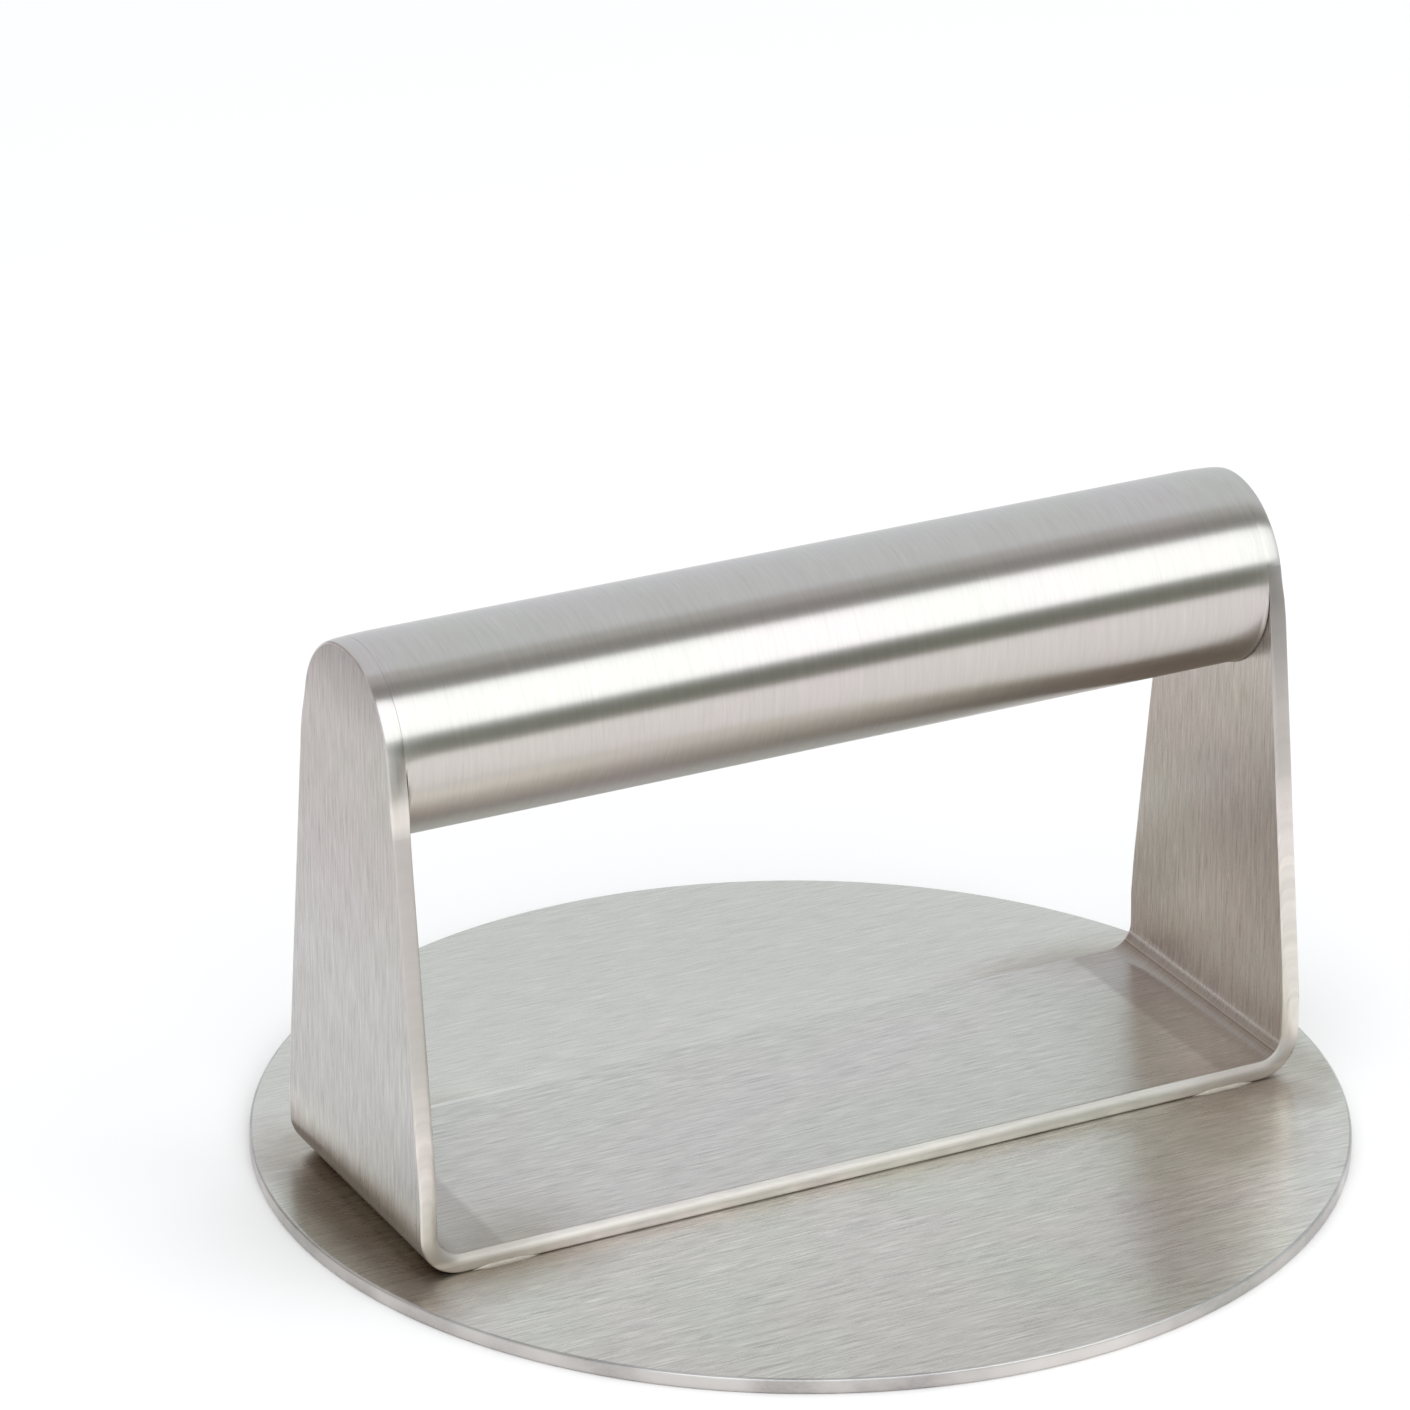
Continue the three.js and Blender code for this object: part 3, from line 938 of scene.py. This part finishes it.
def tube_steel():
    """Brushed round, with painted light along the lower front and back, and painted shade below on the
    right, coloured like heat tint.
    """
    graph = Graph("tube_brushed_steel")
    base, rough, bump = brushed_steel(graph, graph.place(), TUBE_STEEL, contrast=0.22, ring=True)
    x, _, z = graph.parts(graph.place())
    rise = graph.math("SUBTRACT", z, TUBE_CENTRE)
    # Painted shade under the tube at the right, coloured like heat tint
    low = graph.band(rise, -9 * MM, -5 * MM, 0.45, 0.0)
    base = graph.coated(base, shade(HEAT_TINT_AND_SHADE), graph.band(x, 26 * MM, 50 * MM), low)
    lowest = graph.band(rise, -9.8 * MM, -8.6 * MM, 0.6, 0.0)
    base = graph.coated(base, shade(HEAT_TINT_AND_SHADE), graph.band(x, 22 * MM, 36 * MM), lowest)
    # Painted light along the tube's lower front and back
    tube_light_band = graph.product(
        graph.band(x, -52 * MM, -16 * MM, 1.0, 0.25),
        graph.window(rise, (-8 * MM, -5.8 * MM), (-4.2 * MM, -2.2 * MM)),
        graph.band(x, 14 * MM, 30 * MM, 1.0, 0.0),
    )
    base = graph.filtered(base, TUBE_PAINTED_LIGHT, tube_light_band)
    return finish_steel(graph, base, rough, bump, 0.85, AXIS_X)


def ground_weld_steel():
    """Like the tube where it is ground, tinted where it flares, and painted shade in the open seam."""
    graph = Graph("ground_weld_steel")
    base, rough, bump = brushed_steel(graph, graph.place(), TUBE_STEEL, contrast=0.22, ring=True)
    _, y, z = graph.parts(graph.place())
    rise = graph.math("SUBTRACT", z, TUBE_CENTRE)
    reach = graph.math("SQRT", graph.math("MULTIPLY_ADD", y, y, graph.math("MULTIPLY", rise, rise)))
    flared = graph.band(reach, TUBE_RADIUS + 0.02 * MM, TUBE_RADIUS + 0.2 * MM, 0.0, 0.65)
    sunk = graph.band(reach, TUBE_RADIUS - 0.3 * MM, TUBE_RADIUS - 0.05 * MM, 1.0, 0.0)
    below = graph.band(rise, -0.2 * TUBE_RADIUS, 0.1 * TUBE_RADIUS, 1.0, 0.0)
    base = graph.coated(base, shade(HEAT_TINT_AND_SHADE, 0.8), flared)
    # Painted shade in the open seam below the tube
    base = graph.coated(base, shade(CREVICE_SHADE), sunk, below)
    return finish_steel(graph, base, rough, bump, 0.85, AXIS_X)


def tinted_weld_steel():
    graph = Graph("tinted_weld_steel")
    pits = graph.speckle(WELD_PITS, 3.0, 0.6)
    colours = graph.speckle(WELD_COLOURS, 2.0, 0.5)
    base = graph.mix(colours, shade(WELD_DARK), shade(WELD_LIGHT))
    rough = graph.math("MULTIPLY_ADD", pits, 0.2, 0.45)
    return finish_steel(graph, base, rough, graph.relief(pits, 0.3, PIT_DEPTH))


# ---- Assembly ----

ENDS = (("left", -1), ("right", 1))
FACES = (("front", -1), ("back", 1))


def put(piece, node):
    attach(piece, "root")
    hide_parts(node)


def make_press():
    put(make_plate([plate_steel(), rim_steel()]), "base_plate")
    tube_finish = tube_steel()
    put(make_bracket([bracket_steel(), edge_steel(), tube_finish]), "handle_bracket")
    put(make_tube([tube_finish]), "handle_tube")
    ground = ground_weld_steel()
    for end, side_x in ENDS:
        weld = make_tube_weld(side_x, f"ground_weld_{end}", [ground])
        put(weld, f"tube_weld_{end}")
    tinted = tinted_weld_steel()
    for face, side_y in FACES:
        for end, side_x in ENDS:
            bead = make_seam_weld(side_x, side_y, f"weld_bead_{face}_{end}", [tinted])
            put(bead, f"seam_weld_{face}_{end}")


# ---- Studio ----

CAMERA_PLACE = (-0.36298, -0.67471, 0.38971)
CAMERA_AZIMUTH = -27.374  # degrees from straight in front, towards +X
CAMERA_ELEVATION = 23.393  # degrees above level
CAMERA_LENS = 171.86  # in mm, like the sensor
CAMERA_SENSOR = 36

FLOOR_SIZE = 6.0
FLOOR_COLOUR = (0.90, 0.86, 0.845)
FILL_HEIGHT = 2.0
FILL_SIZE = 3.0
FILL_ENERGY = 10.0
FILL_COLOUR = (1.0, 0.96, 0.93)
SURROUND_RADIANCE = (0.83, 0.895, 0.935)

# Angles are in degrees above the front horizon, seen from the tube's centre line
SOFTBOX_ANGLES = (15.7, 59.5)
SOFTBOX_DISTANCE = 0.95
SOFTBOX_WIDTH = 2.6
SOFTBOX_RADIANCE = (1.02, 1.07, 1.08)

# The gap below the softbox is a dark card in front, at the right: (x, lower angle, upper angle)
FRONT_GAP = ((0.0, -14, 8), (0.19, -8.2, 16.8), (0.3, -10, 17.6), (0.46, -17, 7))
FRONT_GAP_DISTANCE = 0.42
FRONT_GAP_RADIANCE = (0.09, 0.105, 0.05)

# The gap above the softbox is a grey card overhead, with a lighter one beyond
TOP_GAP_HALF_WIDTH = 1.5
TOP_GAP_DISTANCE = 0.8
TOP_GAP_ANGLES = (61, 79)
TOP_GAP_RADIANCE = (0.33, 0.33, 0.32)
TOP_GAP_FADE_ANGLES = (79, 92)
TOP_GAP_FADE_RADIANCE = (0.56, 0.565, 0.56)

# A pale card lies just above the floor behind the plate
LOW_BACK_X = (-0.04, 0.06)
LOW_BACK_Y = (0.073, 0.13)
LOW_BACK_HEIGHT = 1.5 * MM
LOW_BACK_RADIANCE = (0.70, 0.67, 0.64)

BACK_LEFT_RADIANCE = (0.36, 0.33, 0.31)
MIDDLE_BACK_LEFT_RADIANCE = (0.61, 0.58, 0.55)


def plain_material(name, settings):
    graph = Graph(name)
    for socket, value in settings.items():
        graph.shader.inputs[socket].default_value = value
    return graph.material


def make_floor():
    bpy.ops.mesh.primitive_plane_add(size=FLOOR_SIZE, location=(0, 0, 0))
    floor = bpy.context.object
    floor.name = "floor"
    settings = {"Base Color": (*FLOOR_COLOUR, 1), "Roughness": 1.0, "Specular IOR Level": 0.0}
    floor.data.materials.append(plain_material("floor_pale", settings))


def make_card(name, corners, radiance):
    """A card that only the steel mirrors: one flat panel to every four corners."""
    mesh = bpy.data.meshes.new(name)
    panels = [list(range(first, first + 4)) for first in range(0, len(corners), 4)]
    mesh.from_pydata([Vector(corner) for corner in corners], [], panels)
    mesh.materials.append(plain_material(name, {
        "Base Color": (0, 0, 0, 1),
        "Specular IOR Level": 0.0,
        "Emission Color": (*radiance, 1),
        "Emission Strength": 1.0,
    }))
    card = bpy.data.objects.new(name, mesh)
    card.visible_camera = False
    card.visible_diffuse = False
    card.visible_shadow = False
    card.visible_transmission = False
    bpy.context.scene.collection.objects.link(card)


def at_angle(degrees, distance):
    """(y, z) seen from the tube's centre line at this angle above the front horizon."""
    turn = math.radians(degrees)
    return -distance * math.cos(turn), TUBE_CENTRE + distance * math.sin(turn)


def along_tube(columns, distance):
    """Corners of a card along the tube, from columns of (x, lower angle, upper angle)."""
    corners = []
    for (left, *left_angles), (right, *right_angles) in zip(columns, columns[1:]):
        low_left, high_left = (at_angle(angle, distance) for angle in left_angles)
        low_right, high_right = (at_angle(angle, distance) for angle in right_angles)
        corners += [(left, *low_left), (right, *low_right), (right, *high_right), (left, *high_left)]
    return corners


def overhead(angles):
    """Corners of a straight card along the tube between two angles."""
    columns = [(x, *angles) for x in (-TOP_GAP_HALF_WIDTH, TOP_GAP_HALF_WIDTH)]
    return along_tube(columns, TOP_GAP_DISTANCE)


def around(distance, azimuths, elevations):
    """Corners of a flat card this far away, between two bearings from +Y and two heights in degrees."""
    middle = math.radians(sum(azimuths) / 2)
    corners = []
    for azimuth, elevation in ((0, 0), (1, 0), (1, 1), (0, 1)):
        turn = math.radians(azimuths[azimuth])
        rise = math.radians(elevations[elevation])
        ray = Vector((math.sin(turn), math.cos(turn), 0)) / math.cos(turn - middle)
        corners.append(ray * distance + Vector((0, 0, distance * math.tan(rise) + TUBE_CENTRE)))
    return corners


def make_cards():
    make_card("front_gap", along_tube(FRONT_GAP, FRONT_GAP_DISTANCE), FRONT_GAP_RADIANCE)
    make_card("top_gap", overhead(TOP_GAP_ANGLES), TOP_GAP_RADIANCE)
    make_card("top_gap_fade", overhead(TOP_GAP_FADE_ANGLES), TOP_GAP_FADE_RADIANCE)
    (left, right), (near, far) = LOW_BACK_X, LOW_BACK_Y
    low_back = [(x, y, LOW_BACK_HEIGHT) for x, y in ((left, near), (right, near), (right, far), (left, far))]
    make_card("low_back", low_back, LOW_BACK_RADIANCE)
    make_card("back_left", around(0.5, (-75, -14), (-6, 12)), BACK_LEFT_RADIANCE)
    make_card("middle_back_left", around(0.6, (-70, -14), (14, 44)), MIDDLE_BACK_LEFT_RADIANCE)
    make_card("high_back_left", around(0.8, (-72, -25), (42, 68)), BACK_LEFT_RADIANCE)


def make_lamp(name, shape, place):
    """An area light that the camera doesn't see."""
    light = bpy.data.lights.new(name, "AREA")
    light.shape = shape
    lamp = bpy.data.objects.new(name, light)
    lamp.location = place
    lamp.visible_camera = False
    bpy.context.scene.collection.objects.link(lamp)
    return lamp, light


def make_softbox():
    low, high = SOFTBOX_ANGLES
    middle = (low + high) / 2
    height = 2 * SOFTBOX_DISTANCE * math.tan(math.radians((high - low) / 2))
    lamp, light = make_lamp("softbox", "RECTANGLE", (0, *at_angle(middle, SOFTBOX_DISTANCE)))
    lamp.rotation_euler = (math.radians(90 - middle), 0, 0)
    light.size = SOFTBOX_WIDTH
    light.size_y = height
    light.energy = math.pi * SOFTBOX_WIDTH * height
    light.color = SOFTBOX_RADIANCE


def make_floor_fill():
    """Soft light from above that the steel doesn't mirror."""
    lamp, light = make_lamp("floor_fill", "DISK", (0, 0, FILL_HEIGHT))
    lamp.visible_glossy = False
    light.size = FILL_SIZE
    light.energy = FILL_ENERGY
    light.color = FILL_COLOUR


def make_world():
    world = bpy.data.worlds.new("surround")
    bpy.context.scene.world = world
    world.use_nodes = True
    background = world.node_tree.nodes["Background"]
    background.inputs["Color"].default_value = (*SURROUND_RADIANCE, 1)
    background.inputs["Strength"].default_value = 1.0


def make_camera():
    azimuth, elevation = math.radians(CAMERA_AZIMUTH), math.radians(CAMERA_ELEVATION)
    back = Vector((
        math.sin(azimuth) * math.cos(elevation),
        -math.cos(azimuth) * math.cos(elevation),
        math.sin(elevation),
    ))
    data = bpy.data.cameras.new("camera")
    data.sensor_width = CAMERA_SENSOR
    data.lens = CAMERA_LENS
    data.clip_start = 0.01
    data.clip_end = 50
    camera = bpy.data.objects.new("camera", data)
    camera.location = CAMERA_PLACE
    camera.rotation_euler = (-back).to_track_quat("-Z", "Y").to_euler()
    bpy.context.scene.collection.objects.link(camera)
    bpy.context.scene.camera = camera


def make_studio():
    make_floor()
    make_softbox()
    make_floor_fill()
    make_cards()
    make_world()
    make_camera()
    bpy.context.scene.view_settings.view_transform = "Standard"


make_press()
make_studio()
